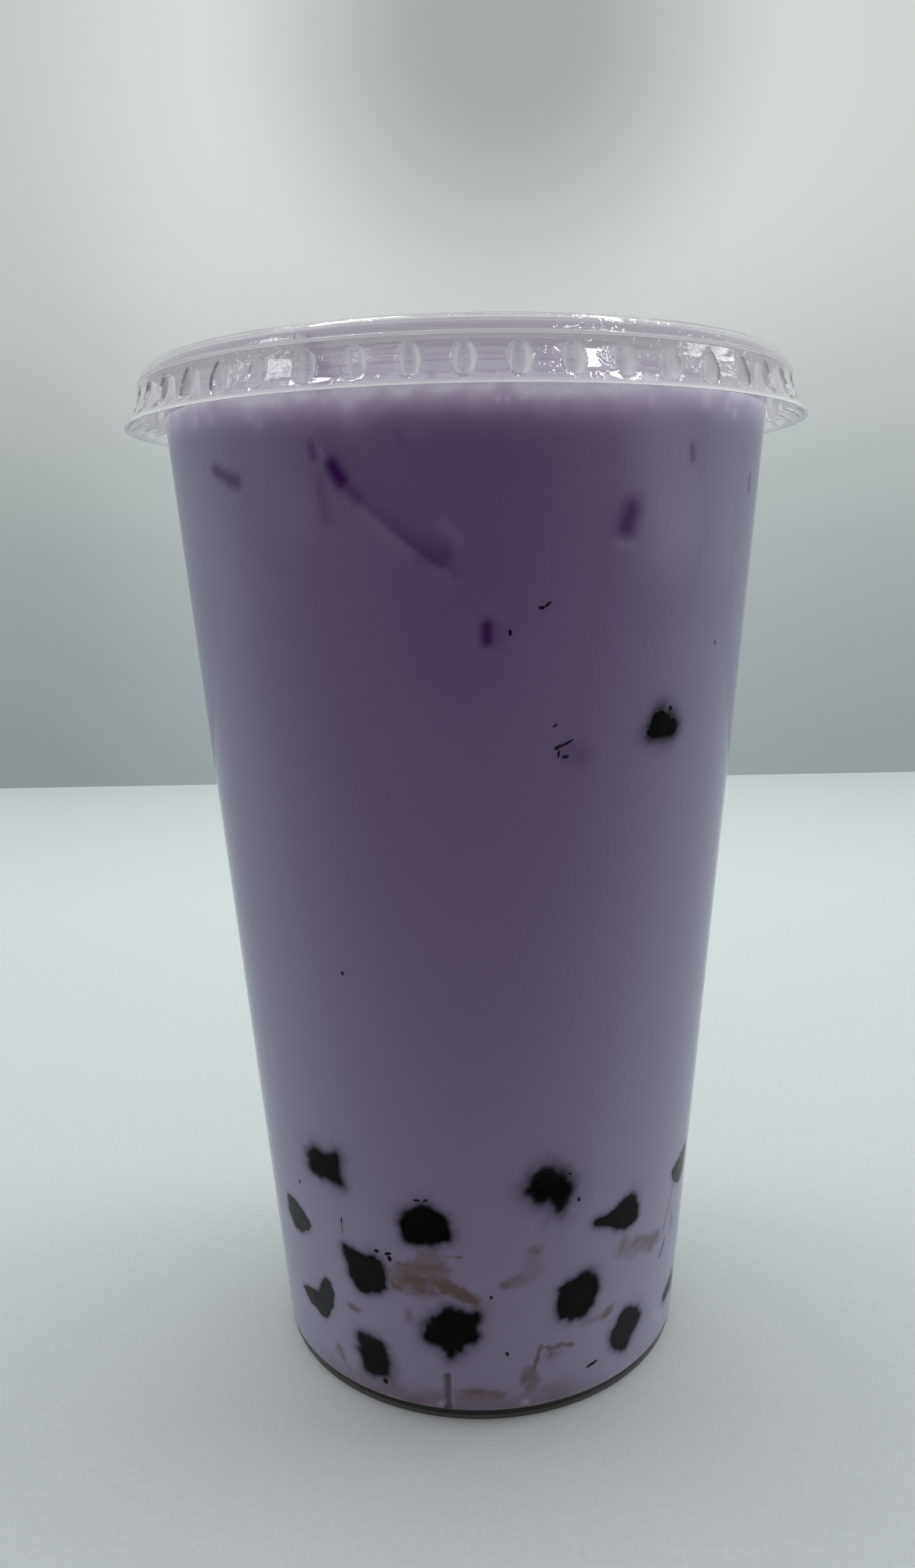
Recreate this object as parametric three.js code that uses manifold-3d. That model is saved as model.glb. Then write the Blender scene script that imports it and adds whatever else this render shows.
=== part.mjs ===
// A taro bubble tea in a clear plastic cup with a clear press-on lid.
// Millimetres, +Z up. The origin is on the surface the cup stands on, on the cup's axis.
// The front of the drink looks along -Y. Angles round the cup are in degrees from the front, and
// positive ones go towards +X.
import * as THREE from "three";
import { mergeVertices } from "three/addons/utils/BufferGeometryUtils.js";
import Module from "manifold-3d";

const wasm = await Module();
wasm.setup();

// Clear gap that pieces keep where they touch
const GAP = 0.3;

// Cup: a tapered wall on a low ring, with a rolled rim
const CUP_SEGMENTS = 64;
const WALL_RADIUS_AT_TABLE = 33.2;
const WALL_SLOPE = 0.0815;
const WALL = 0.8;
const FLOOR_UNDERSIDE = 1.2;
const FLOOR_TOP = 2.0;
const RING_OUTER = 32.4;
const RING_INNER = 30.5;
const RING_EDGE_HEIGHT = 0.5;
const FOOT_EASE = 0.6;
const HEEL_HEIGHT = 1.8;
const RIM_LOW = 151.7;
const RIM_TOP = 155.5;
const RIM_OUTER = 47.45;
const RIM_ROUND = 1.1;
const RIM_BEVEL = 0.8;
const RIM_STEPS = 2;

// Ribs inside the foot of the wall, which keep stacked cups apart
const RIB_COUNT = 3;
const RIB_ANGLE = -9;
const RIB_WIDTH = 1.4;
const RIB_DEPTH = 0.9;
const RIB_TOP = 8.5;

// Lid: a thin shell over the rim, with a skirt of pressed-in lugs that ends in a flared edge
const LID_THICKNESS = 0.45;
const LUG_COUNT = 48;
const LUG_HALF_WIDTH = 1.8;
const LUG_CREST_HALF_WIDTH = 0.75;
const LUG_TOP_DEPTH = 0.8;
const LUG_FOOT_DEPTH = 1.2;
const FLANGE_RADIUS = 51.25;
const FLANGE_FOOT = 147.8;
const LID_TOP = 156.3;
const LID_TOP_RADIUS = 46.5;
const SKIRT_TOP_RADIUS = 48.95;
const PANEL_RADIUS = 39;
const PANEL_TOP = 154.6;
const PANEL_CROWN = 0.2;
const CHANNEL_RADIUS = 42.2;
const CHANNEL_BOTTOM = 152;
const SKIRT_TOP = LID_TOP - 3;
const LUG_TOP = LID_TOP - 4;
const FLARE_TOP = FLANGE_FOOT + 1.8;

// More points of the lid's cross-section, as steps out and up from its named rings
const PANEL_EDGE = [1.2, -0.6];
const CHANNEL_SIDES = [
  [-1, 0.5],
  [0, 0],
  [1.2, 0.4],
];
const SHOULDER_FOOT = [-2.4, -2.1];
const SHOULDER_ROUND = [
  [-1.9, -0.8],
  [0, 0],
  [1.1, -0.35],
  [1.9, -1.2],
];
const LUG_TOP_STEP = 0.25;
const LUG_FOOT_STEP = -1.35;
const FLARE_STEP = [-0.6, 0.95];

// Drink: it fills the cup to just under the rim
const DRINK_LEVEL = 149.4;

// Tapioca pearls. Each lies against the wall and is pressed flat there.
const PEARL_HALF_DEPTH = 4.6;
const PEARL_SEAT = 3.0;
const PEARL_UNEVENNESS = 0.05;
const PEARL_WAVES = [3.1, 4.3];
const PEARL_SIDES = 9;
const PEARL_BANDS = 4;
const POCKET_GAP = GAP + 0.1;

// The pearls seen from the front: place round the cup, height of the middle, the width and height
// of the flat patch that shows, and how far its top leans to the right in degrees
const FRONT_PEARLS = [
  { angle: -40.7, height: 39.2, wide: 6.6, tall: 5.4, lean: -8 },
  { angle: -54.5, height: 27.1, wide: 7.8, tall: 5.8, lean: -15 },
  { angle: -13.3, height: 33.4, wide: 7.4, tall: 6.2, lean: 0 },
  { angle: -30.2, height: 23.4, wide: 7.6, tall: 7.2, lean: -18 },
  { angle: 17.0, height: 38.8, wide: 7.0, tall: 6.2, lean: 10 },
  { angle: 38.4, height: 31.0, wide: 7.6, tall: 5.6, lean: 25 },
  { angle: 67.0, height: 31.0, wide: 7.8, tall: 5.8, lean: 0 },
  { angle: -48.5, height: 14.7, wide: 8.4, tall: 7.6, lean: 0 },
  { angle: -30.2, height: 8.7, wide: 5.8, tall: 7.0, lean: -10 },
  { angle: -7.1, height: 15.5, wide: 8.0, tall: 7.6, lean: 0 },
  { angle: 25.4, height: 19.3, wide: 6.8, tall: 7.6, lean: 20 },
  { angle: 42.4, height: 9.6, wide: 6.6, tall: 7.6, lean: 18 },
  { angle: 68.0, height: 9.2, wide: 7.0, tall: 4.4, lean: 0 },
  { angle: 38.7, height: 105.9, wide: 6.2, tall: 4.8, lean: 0 },
];

// The pearls on the hidden side, spread in three tiers like those in front
const BACK_PEARLS = 12;
const BACK_FIRST_ANGLE = 100;
const BACK_STEP = 15.2;
const BACK_TIERS = [10.5, 32, 21.5];
const BACK_SEED = 7;
const BACK_ANGLE_SPREAD = 3;
const BACK_HEIGHT_SPREAD = 4;
const BACK_LEAN_SPREAD = 50;
const BACK_SMALLEST = { wide: 6.2, tall: 6.4 };
const BACK_SIZE_SPREAD = 1.6;

const radians = THREE.MathUtils.degToRad;

// Outer radius of the cup's wall at a height
function wallRadius(height) {
  return WALL_RADIUS_AT_TABLE + WALL_SLOPE * height;
}

// A geometry with its shared vertices merged, as a solid
function toSolid(geometry) {
  const plain = geometry.clone();
  plain.deleteAttribute("normal");
  plain.deleteAttribute("uv");
  const merged = mergeVertices(plain, 1e-3);
  const vertProperties = merged.attributes.position.array;
  const triVerts = new Uint32Array(merged.index.array);
  return new wasm.Manifold(new wasm.Mesh({ numProp: 3, vertProperties, triVerts }));
}

function toGeometry(solid) {
  const mesh = solid.getMesh();
  const geometry = new THREE.BufferGeometry();
  geometry.setAttribute("position", new THREE.BufferAttribute(mesh.vertProperties, 3));
  geometry.setIndex(new THREE.BufferAttribute(mesh.triVerts, 1));
  geometry.computeVertexNormals();
  return geometry;
}

// A profile of [radius, height] points turned round the Z axis. A vertex faces the front.
function turned(profile, segments) {
  const points = profile.map(([radius, height]) => new THREE.Vector2(radius, height));
  return new THREE.LatheGeometry(points, segments).rotateX(Math.PI / 2);
}

// Points on a quarter circle in a profile, about a centre, from one angle to another in degrees
function corner([radius, height], round, from, to, steps) {
  return Array.from({ length: steps + 1 }, (_, i) => {
    const angle = radians(from + ((to - from) * i) / steps);
    return [radius + round * Math.cos(angle), height + round * Math.sin(angle)];
  });
}

function ribBox(grow) {
  const height = RIB_TOP - FLOOR_UNDERSIDE - WALL / 2 + 2 * grow;
  const deep = RIB_DEPTH + WALL / 2 + grow;
  const box = new THREE.BoxGeometry(RIB_WIDTH + 2 * grow, deep, height);
  const outer = wallRadius(0) - WALL / 2;
  box.translate(0, -outer + deep / 2, RIB_TOP + grow - height / 2);
  // leans outwards with the wall
  box.translate(0, outer, 0);
  box.rotateX(Math.atan(WALL_SLOPE));
  box.translate(0, -outer, 0);
  return box;
}

function ribs(grow) {
  return Array.from({ length: RIB_COUNT }, (_, i) =>
    toSolid(ribBox(grow).rotateZ(radians(RIB_ANGLE + (360 * i) / RIB_COUNT))),
  );
}

function cupGeometry() {
  const innerFoot = FLOOR_TOP + FOOT_EASE;
  const profile = [
    [0, FLOOR_UNDERSIDE],
    [RING_INNER - FOOT_EASE, FLOOR_UNDERSIDE],
    [RING_INNER, 0],
    [RING_OUTER, 0],
    [RING_OUTER + FOOT_EASE, RING_EDGE_HEIGHT],
    [wallRadius(HEEL_HEIGHT), HEEL_HEIGHT],
    [wallRadius(RIM_LOW), RIM_LOW],
    ...corner([RIM_OUTER - RIM_ROUND, RIM_LOW + RIM_ROUND], RIM_ROUND, -90, 0, RIM_STEPS),
    ...corner([RIM_OUTER - RIM_ROUND, RIM_TOP - RIM_ROUND], RIM_ROUND, 0, 90, RIM_STEPS),
    [wallRadius(RIM_TOP) - WALL + RIM_BEVEL, RIM_TOP],
    [wallRadius(RIM_TOP) - WALL, RIM_TOP - RIM_BEVEL],
    [wallRadius(innerFoot) - WALL, innerFoot],
    [wallRadius(FLOOR_TOP) - WALL - FOOT_EASE, FLOOR_TOP],
    [0, FLOOR_TOP],
  ];
  let cup = toSolid(turned(profile, CUP_SEGMENTS));
  for (const rib of ribs(0)) cup = cup.add(rib);
  return toGeometry(cup);
}

// The body of the drink before the ribs and pearls are cut from it
function drinkBody() {
  const low = FLOOR_TOP + GAP;
  const heel = low + FOOT_EASE;
  const inset = WALL + GAP;
  return toSolid(
    turned(
      [
        [0, low],
        [wallRadius(low) - inset - FOOT_EASE, low],
        [wallRadius(heel) - inset, heel],
        [wallRadius(DRINK_LEVEL) - inset, DRINK_LEVEL],
        [0, DRINK_LEVEL],
      ],
      CUP_SEGMENTS,
    ),
  );
}

// One uneven round pearl, before the wall flattens it. grow widens it on all sides.
function pearlGeometry({ angle, height, wide, tall, lean }, grow) {
  const flat = Math.sqrt(1 - (PEARL_SEAT / PEARL_HALF_DEPTH) ** 2);
  const size = new THREE.Vector3(wide / 2 / flat, PEARL_HALF_DEPTH, tall / 2 / flat);
  const geometry = new THREE.SphereGeometry(1, PEARL_SIDES, PEARL_BANDS);
  const position = geometry.attributes.position;
  const point = new THREE.Vector3();
  for (let i = 0; i < position.count; i++) {
    point.fromBufferAttribute(position, i);
    const [across, upwards] = PEARL_WAVES;
    const bumps = Math.sin(across * point.x + angle) + Math.sin(upwards * point.z + height);
    const uneven = 1 + PEARL_UNEVENNESS * bumps;
    point.multiply(size).multiplyScalar(uneven);
    point.addScaledVector(point.clone().normalize(), grow);
    position.setXYZ(i, point.x, point.y, point.z);
  }
  geometry.rotateY(radians(lean));
  geometry.rotateX(Math.atan(WALL_SLOPE));
  geometry.translate(0, -(wallRadius(height) - WALL - GAP - PEARL_SEAT), height);
  return geometry.rotateZ(radians(angle));
}

// A small seeded source of numbers from 0 to 1
function seeded(seed) {
  let state = seed;
  return () => {
    state = (state * 16807) % 2147483647;
    return state / 2147483647;
  };
}

function backPearls() {
  const random = seeded(BACK_SEED);
  return Array.from({ length: BACK_PEARLS }, (_, i) => ({
    angle: BACK_FIRST_ANGLE + BACK_STEP * i + BACK_ANGLE_SPREAD * random(),
    height: BACK_TIERS[i % BACK_TIERS.length] + BACK_HEIGHT_SPREAD * (random() - 0.5),
    wide: BACK_SMALLEST.wide + BACK_SIZE_SPREAD * random(),
    tall: BACK_SMALLEST.tall + BACK_SIZE_SPREAD * random(),
    lean: BACK_LEAN_SPREAD * (random() - 0.5),
  }));
}

// How many points a ring of the lid has for each lug: the skirt has the four edges of the lug
const PANEL_POINTS = 1;
const SHOULDER_POINTS = 2;
const SKIRT_POINTS = 4;

// The point that lies a step out and up from a ring
function beside([radius, height], [out, up]) {
  return [radius + out, height + up];
}

// The lid's upper face as a profile from the middle out to the flange's tip. lug is how far the
// lugs push that row in.
function lidProfile() {
  const panel = [PANEL_RADIUS, PANEL_TOP];
  const channel = [CHANNEL_RADIUS, CHANNEL_BOTTOM];
  const top = [LID_TOP_RADIUS, LID_TOP];
  const tip = [FLANGE_RADIUS, FLANGE_FOOT];
  const row = (at, points, lug = 0) => ({ at, points, lug });
  return [
    row([0, PANEL_TOP + PANEL_CROWN], PANEL_POINTS),
    row(panel, PANEL_POINTS),
    row(beside(panel, PANEL_EDGE), PANEL_POINTS),
    ...CHANNEL_SIDES.map((step) => row(beside(channel, step), PANEL_POINTS)),
    row(beside(top, SHOULDER_FOOT), PANEL_POINTS),
    ...SHOULDER_ROUND.map((step) => row(beside(top, step), SHOULDER_POINTS)),
    row([SKIRT_TOP_RADIUS, SKIRT_TOP], SKIRT_POINTS),
    row([SKIRT_TOP_RADIUS + LUG_TOP_STEP, LUG_TOP], SKIRT_POINTS, LUG_TOP_DEPTH),
    row([FLANGE_RADIUS + LUG_FOOT_STEP, FLARE_TOP], SKIRT_POINTS, LUG_FOOT_DEPTH),
    row(beside(tip, FLARE_STEP), SKIRT_POINTS),
    row(tip, SKIRT_POINTS),
  ];
}

// The same profile, one shell thickness further in. The skirt's rows keep their heights.
function insideOf(profile) {
  return profile.map((row, i) => {
    const [radius, height] = row.at;
    const before = profile[Math.max(i - 1, 0)].at;
    const after = profile[Math.min(i + 1, profile.length - 1)].at;
    const along = new THREE.Vector2(after[0] - before[0], after[1] - before[1]).normalize();
    if (row.points === SKIRT_POINTS) return { ...row, at: [radius + LID_THICKNESS / along.y, height] };
    const inner = i === 0 ? 0 : radius + along.y * LID_THICKNESS;
    return { ...row, at: [inner, height - along.x * LID_THICKNESS] };
  });
}

// The points of one row of the lid, all the way round
function ringOf({ at: [radius, height], points, lug }) {
  if (radius === 0) return [[0, 0, height]];
  const pitch = 360 / LUG_COUNT;
  const edge = THREE.MathUtils.radToDeg(LUG_HALF_WIDTH / SKIRT_TOP_RADIUS);
  const crest = THREE.MathUtils.radToDeg(LUG_CREST_HALF_WIDTH / SKIRT_TOP_RADIUS);
  const columns = {
    [PANEL_POINTS]: [[0, 0]],
    [SHOULDER_POINTS]: [[0, 0], [pitch / 2, 0]],
    [SKIRT_POINTS]: [[-crest, lug], [crest, lug], [edge, 0], [pitch - edge, 0]],
  }[points];
  const ring = [];
  for (let i = 0; i < LUG_COUNT; i++) {
    for (const [offset, depth] of columns) {
      const angle = radians(i * pitch + offset);
      const out = radius - depth;
      ring.push([out * Math.sin(angle), -out * Math.cos(angle), height]);
    }
  }
  return ring;
}

// Joins rings in order into one closed skin. A ring may have one point, or half or twice as many
// as the one before.
function skin(rings) {
  const positions = rings.flat(2);
  const indices = [];
  let start = 0;
  for (let r = 0; r + 1 < rings.length; r++) {
    const a = start;
    const b = start + rings[r].length;
    const na = rings[r].length;
    const nb = rings[r + 1].length;
    const n = Math.max(na, nb);
    for (let i = 0; i < n; i++) {
      const j = (i + 1) % n;
      // the point of the coarser ring that each point of the finer one belongs to
      const a0 = a + Math.floor((i * na) / n);
      const a1 = a + Math.floor((j * na) / n);
      const b0 = b + Math.floor((i * nb) / n);
      const b1 = b + Math.floor((j * nb) / n);
      if (b0 !== b1) indices.push(a0, b0, b1);
      if (a0 !== a1) indices.push(a0, b1, a1);
    }
    start = b;
  }
  const geometry = new THREE.BufferGeometry();
  geometry.setAttribute("position", new THREE.Float32BufferAttribute(positions, 3));
  geometry.setIndex(indices);
  geometry.computeVertexNormals();
  return geometry;
}

function lidGeometry() {
  const outside = lidProfile();
  return skin([...outside, ...insideOf(outside).reverse()].map(ringOf));
}

const plastic = () =>
  new THREE.MeshStandardMaterial({
    color: 0xe4e9ea,
    roughness: 0.08,
    metalness: 0,
    transparent: true,
    opacity: 0.35,
  });

function add(group, name, geometry, material) {
  const mesh = new THREE.Mesh(geometry, material);
  mesh.name = name;
  group.add(mesh);
}

const tea = new THREE.Group();
tea.name = "taro_bubble_tea";
add(tea, "cup", cupGeometry(), plastic());
add(tea, "lid", lidGeometry(), plastic());

const body = drinkBody();
let drink = body;
for (const rib of ribs(GAP)) drink = drink.subtract(rib);
[...FRONT_PEARLS, ...backPearls()].forEach((pearl, i) => {
  drink = drink.subtract(toSolid(pearlGeometry(pearl, POCKET_GAP)));
  const flattened = toSolid(pearlGeometry(pearl, 0)).intersect(body);
  add(
    tea,
    `pearl_${String(i + 1).padStart(2, "0")}`,
    toGeometry(flattened),
    new THREE.MeshStandardMaterial({ color: 0x141211, roughness: 0.3, metalness: 0 }),
  );
});
add(
  tea,
  "drink",
  toGeometry(drink),
  new THREE.MeshStandardMaterial({ color: 0x8d7f9f, roughness: 0.35, metalness: 0 }),
);

export default tea;
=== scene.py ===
"""Looks of a taro bubble tea: a clear cup and lid, milky tea with foam, tapioca pearls and syrup.

Sizes are in millimetres and turn into metres where a mesh is made. Only the stage, the lamps and
the materials are in metres throughout. Angles round the cup are in degrees from the front, which
looks along -Y, and positive ones go towards +X.
"""

from math import atan2, cos, degrees, exp, pi, radians, sin, sqrt

import bpy
import numpy as np
from mathutils import Matrix, Vector


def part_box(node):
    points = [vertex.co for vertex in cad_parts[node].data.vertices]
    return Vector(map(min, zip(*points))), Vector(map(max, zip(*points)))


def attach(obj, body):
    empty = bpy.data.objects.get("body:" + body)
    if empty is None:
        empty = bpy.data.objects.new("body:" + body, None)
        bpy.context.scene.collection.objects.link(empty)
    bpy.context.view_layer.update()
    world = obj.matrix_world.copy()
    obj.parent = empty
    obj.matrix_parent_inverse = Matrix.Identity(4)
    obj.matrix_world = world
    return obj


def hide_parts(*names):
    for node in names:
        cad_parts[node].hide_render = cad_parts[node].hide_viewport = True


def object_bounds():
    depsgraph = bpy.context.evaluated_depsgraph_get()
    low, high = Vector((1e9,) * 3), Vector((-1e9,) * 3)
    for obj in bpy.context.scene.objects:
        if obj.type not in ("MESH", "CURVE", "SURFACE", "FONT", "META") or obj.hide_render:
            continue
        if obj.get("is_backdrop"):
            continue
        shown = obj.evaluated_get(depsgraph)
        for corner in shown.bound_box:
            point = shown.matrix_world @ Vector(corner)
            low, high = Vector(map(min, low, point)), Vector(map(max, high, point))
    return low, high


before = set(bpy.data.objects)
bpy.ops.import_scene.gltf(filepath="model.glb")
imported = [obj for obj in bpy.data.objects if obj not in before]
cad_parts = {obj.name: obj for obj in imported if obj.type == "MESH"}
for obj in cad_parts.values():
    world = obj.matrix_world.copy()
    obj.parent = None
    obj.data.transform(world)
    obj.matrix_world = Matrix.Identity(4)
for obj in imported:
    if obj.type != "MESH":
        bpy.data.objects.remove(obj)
cad_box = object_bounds()
scene = bpy.context.scene

MM = 0.001
BODY = "root"

# The camera that took the picture, on the cup's front side
CAMERA_PLACE = (0.0, -190.4, 127.8)
CAMERA_PITCH = 10.63
CAMERA_PAN = -0.69
CAMERA_ROLL = -1.17
SENSOR = 36.0
LENS = 27.05

# Cup: the same sizes as its solid
WALL_RADIUS_AT_TABLE = 33.2
WALL_SLOPE = 0.0815
WALL = 0.8
FLOOR_UNDERSIDE = 1.2
FLOOR_TOP = 2.0
FLOOR_MIDDLE = 1.0
RING_INNER = 30.5
RING_OUTER = 32.4
RING_BEVEL = 0.6
RIM_LOW = 151.7
RIM_TOP = 155.5
RIM_OUTER = 47.45
RIM_ROUND = 1.1
RIM_INNER_ROUND = 0.6
RIB_ANGLES = (-9.0, 111.0, 231.0)
RIB_WIDTH = 1.4
RIB_DEPTH = 0.9
RIB_TOP = 8.5
RIB_REACH = 2.6
RIB_COLUMNS = 21
CUP_COLUMNS = 240
WALL_ROWS = 24

# Lid
LID_THICKNESS = 0.45
SKIRT_RADIUS = 49.2
LUG_COUNT = 48
LUG_HALF_WIDTH = 1.6
LUG_CREST_SHARE = 0.55
LUG_CREST_RADIUS = 48.35
LUG_TOP = 152.9
LUG_FOOT = 148.75
SKIRT_TOP = 153.8
CREASE = 151.9
FLANGE_RADIUS = 51.2
FLANGE_FOOT = 147.8

# Drink
DRINK_LEVEL = 149.4
DRINK_FOOT = 1.6
INTO_WALL = 0.4
DRINK_CENTRE_RING = 4.0

# Pearls: how far their flat face is under the wall's outer one, and how deep they are
PEARL_UNDER_FACE = 0.35
PEARL_SEAT = 3.0
PEARL_HALF_DEPTH = 4.6


def wall_radius(height):
    """Outer radius of the cup's wall at a height."""
    return WALL_RADIUS_AT_TABLE + WALL_SLOPE * height


def turned(angle, centre=0):
    """Degrees round the cup from one angle to another, from -180 to 180."""
    return (angle - centre + 180) % 360 - 180


def round_the_cup(radius, angle, height):
    """Points at a radius, an angle from the front and a height."""
    turn = np.radians(angle)
    radius, turn, height = np.broadcast_arrays(radius, turn, height)
    return np.stack([radius * np.sin(turn), -radius * np.cos(turn), height], -1)


def tilted(u, v, lean):
    """Steps right and up after a turn in degrees, which raises the right end."""
    across, up = cos(radians(lean)), sin(radians(lean))
    return u * across - v * up, u * up + v * across


def smoothstep(low, high, value):
    share = np.clip((value - low) / (high - low), 0, 1)
    return share * share * (3 - 2 * share)


def noise(u, v, cell, seed):
    """Smooth noise from 0 to 1 over a plane, with lumps about as large as cell."""
    size = 64
    table = np.random.default_rng(seed).random((size, size))
    total = 0.0
    weight = 0.0
    for octave in range(3):
        x = np.asarray(u) / cell * 2**octave + 17.3 * octave
        y = np.asarray(v) / cell * 2**octave
        i, j = np.floor(x).astype(int), np.floor(y).astype(int)
        fx, fy = smoothstep(0, 1, x - i), smoothstep(0, 1, y - j)
        i, j, after_i, after_j = i % size, j % size, (i + 1) % size, (j + 1) % size
        near = table[i, j] * (1 - fx) + table[after_i, j] * fx
        far = table[i, after_j] * (1 - fx) + table[after_i, after_j] * fx
        total = total + (near * (1 - fy) + far * fy) / 2**octave
        weight += 1 / 2**octave
    return total / weight


def corners_cut(points, times):
    """A line of points with its corners cut off again and again. Its ends stay."""
    line = np.array(points, float)
    for _ in range(times):
        step = line[1:] - line[:-1]
        cut = np.stack([line[:-1] + 0.25 * step, line[1:] - 0.25 * step], 1).reshape(-1, 2)
        line = np.vstack([line[:1], cut, line[-1:]])
    return line


def closed_line(points, times):
    """A closed outline with its corners cut off in the same way."""
    line = np.array(points, float)
    for _ in range(times):
        step = np.roll(line, -1, axis=0) - line
        line = np.stack([line + 0.25 * step, line + 0.75 * step], 1).reshape(-1, 2)
    return line


def arc(centre, radius, start, end, steps):
    """Points of an arc in a profile, from one angle to another in degrees."""
    turn = np.radians(np.linspace(start, end, steps + 1))
    return np.stack([centre[0] + radius * np.cos(turn), centre[1] + radius * np.sin(turn)], -1)


def skin(rings, first, last):
    """Vertices and faces of a closed skin over rings of points, between its two end points."""
    rows, columns, _ = rings.shape
    here = np.arange(rows * columns).reshape(rows, columns)
    after = np.roll(here, -1, axis=1)
    faces = np.stack([here[:-1], after[:-1], after[1:], here[1:]], -1).reshape(-1, 4).tolist()
    tip = rows * columns
    faces += [(tip, b, a) for a, b in zip(here[0].tolist(), after[0].tolist())]
    faces += [(tip + 1, a, b) for a, b in zip(here[-1].tolist(), after[-1].tolist())]
    return np.vstack([rings.reshape(-1, 3), [first], [last]]), faces


def merged(parts):
    """Points and faces of several parts as one mesh."""
    points, faces, start = [], [], 0
    for part, part_faces in parts:
        points.append(part)
        faces += [tuple(start + i for i in face) for face in part_faces]
        start += len(part)
    return np.vstack(points), faces


def new_object(name, data):
    made = bpy.data.objects.new(name, data)
    scene.collection.objects.link(made)
    return made


def piece(name, points, faces, material, slot, masks=None, crisp=None):
    """A piece of the object that rides on the cup. Edges sharper than crisp degrees stay crisp.
    masks has one number for each vertex, by the name that the material reads."""
    mesh = bpy.data.meshes.new(name)
    mesh.from_pydata((np.asarray(points) * MM).tolist(), [], faces)
    mesh.polygons.foreach_set("use_smooth", [True] * len(mesh.polygons))
    if crisp is not None:
        mesh.set_sharp_from_angle(angle=radians(crisp))
    mesh.materials.append(material)
    mesh.update()
    made = new_object(name, mesh)
    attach(made, BODY)
    for mask, values in (masks or {}).items():
        layer = mesh.attributes.new(mask, "FLOAT", "POINT")
        layer.data.foreach_set("value", np.asarray(values, np.float32))
    return made


class Graph:
    """A node material or world, with short calls to add nodes and join them."""

    def __init__(self, owner):
        owner.use_nodes = True
        self.tree = owner.node_tree
        self.tree.nodes.clear()
        self.coordinates = None

    def add(self, kind, inputs=None, **settings):
        """A node. Each input is a socket to join or a value, and colours come without alpha."""
        node = self.tree.nodes.new("ShaderNode" + kind)
        for key, value in settings.items():
            setattr(node, key, value)
        for key, value in (inputs or {}).items():
            socket = node.inputs[key]
            if isinstance(value, bpy.types.NodeSocket):
                self.tree.links.new(value, socket)
            else:
                socket.default_value = (*value, 1.0) if socket.type == "RGBA" else value
        return node

    def place(self):
        """The object's own coordinates, in metres."""
        if self.coordinates is None:
            self.coordinates = self.add("TexCoord").outputs["Object"]
        return self.coordinates

    def split(self, vector):
        return self.add("SeparateXYZ", {0: vector}).outputs

    def attribute(self, name):
        return self.add("Attribute", attribute_name=name).outputs["Fac"]

    def noise(self, scale, detail=2.0):
        inputs = {"Scale": scale, "Detail": detail, "Vector": self.place()}
        return self.add("TexNoise", inputs).outputs["Fac"]

    def mottle(self, scale, detail=2.0, low=0.3):
        """Noise that is spread out to run from 0 to 1."""
        return self.remap(self.noise(scale, detail), low, 0.7, 0.0, 1.0)

    def remap(self, value, low, high, to_low, to_high, kind="LINEAR"):
        inputs = dict(enumerate((value, low, high, to_low, to_high)))
        return self.add("MapRange", inputs, interpolation_type=kind).outputs["Result"]

    def soft_remap(self, *values):
        return self.remap(*values, kind="SMOOTHSTEP")

    def maths(self, operation, a, b=0.0):
        return self.add("Math", {0: a, 1: b}, operation=operation).outputs[0]

    def times(self, a, b):
        return self.maths("MULTIPLY", a, b)

    def most(self, a, b):
        return self.maths("MAXIMUM", a, b)

    def mix(self, share, a, b, blend="MIX"):
        inputs = {0: share, 6: a, 7: b}
        return self.add("Mix", inputs, data_type="RGBA", blend_type=blend).outputs[2]

    def mix_shaders(self, share, a, b):
        return self.add("MixShader", {0: share, 1: a, 2: b}).outputs[0]

    def bump(self, height, strength, distance):
        inputs = {"Height": height, "Strength": strength, "Distance": distance}
        return self.add("Bump", inputs).outputs["Normal"]

    def principled(self, inputs):
        return self.add("BsdfPrincipled", inputs).outputs[0]

    def finish(self, surface, kind="OutputMaterial", **others):
        self.add(kind, {"Surface": surface, **others})


def new_material(name):
    material = bpy.data.materials.new(name)
    return material, Graph(material)


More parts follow.
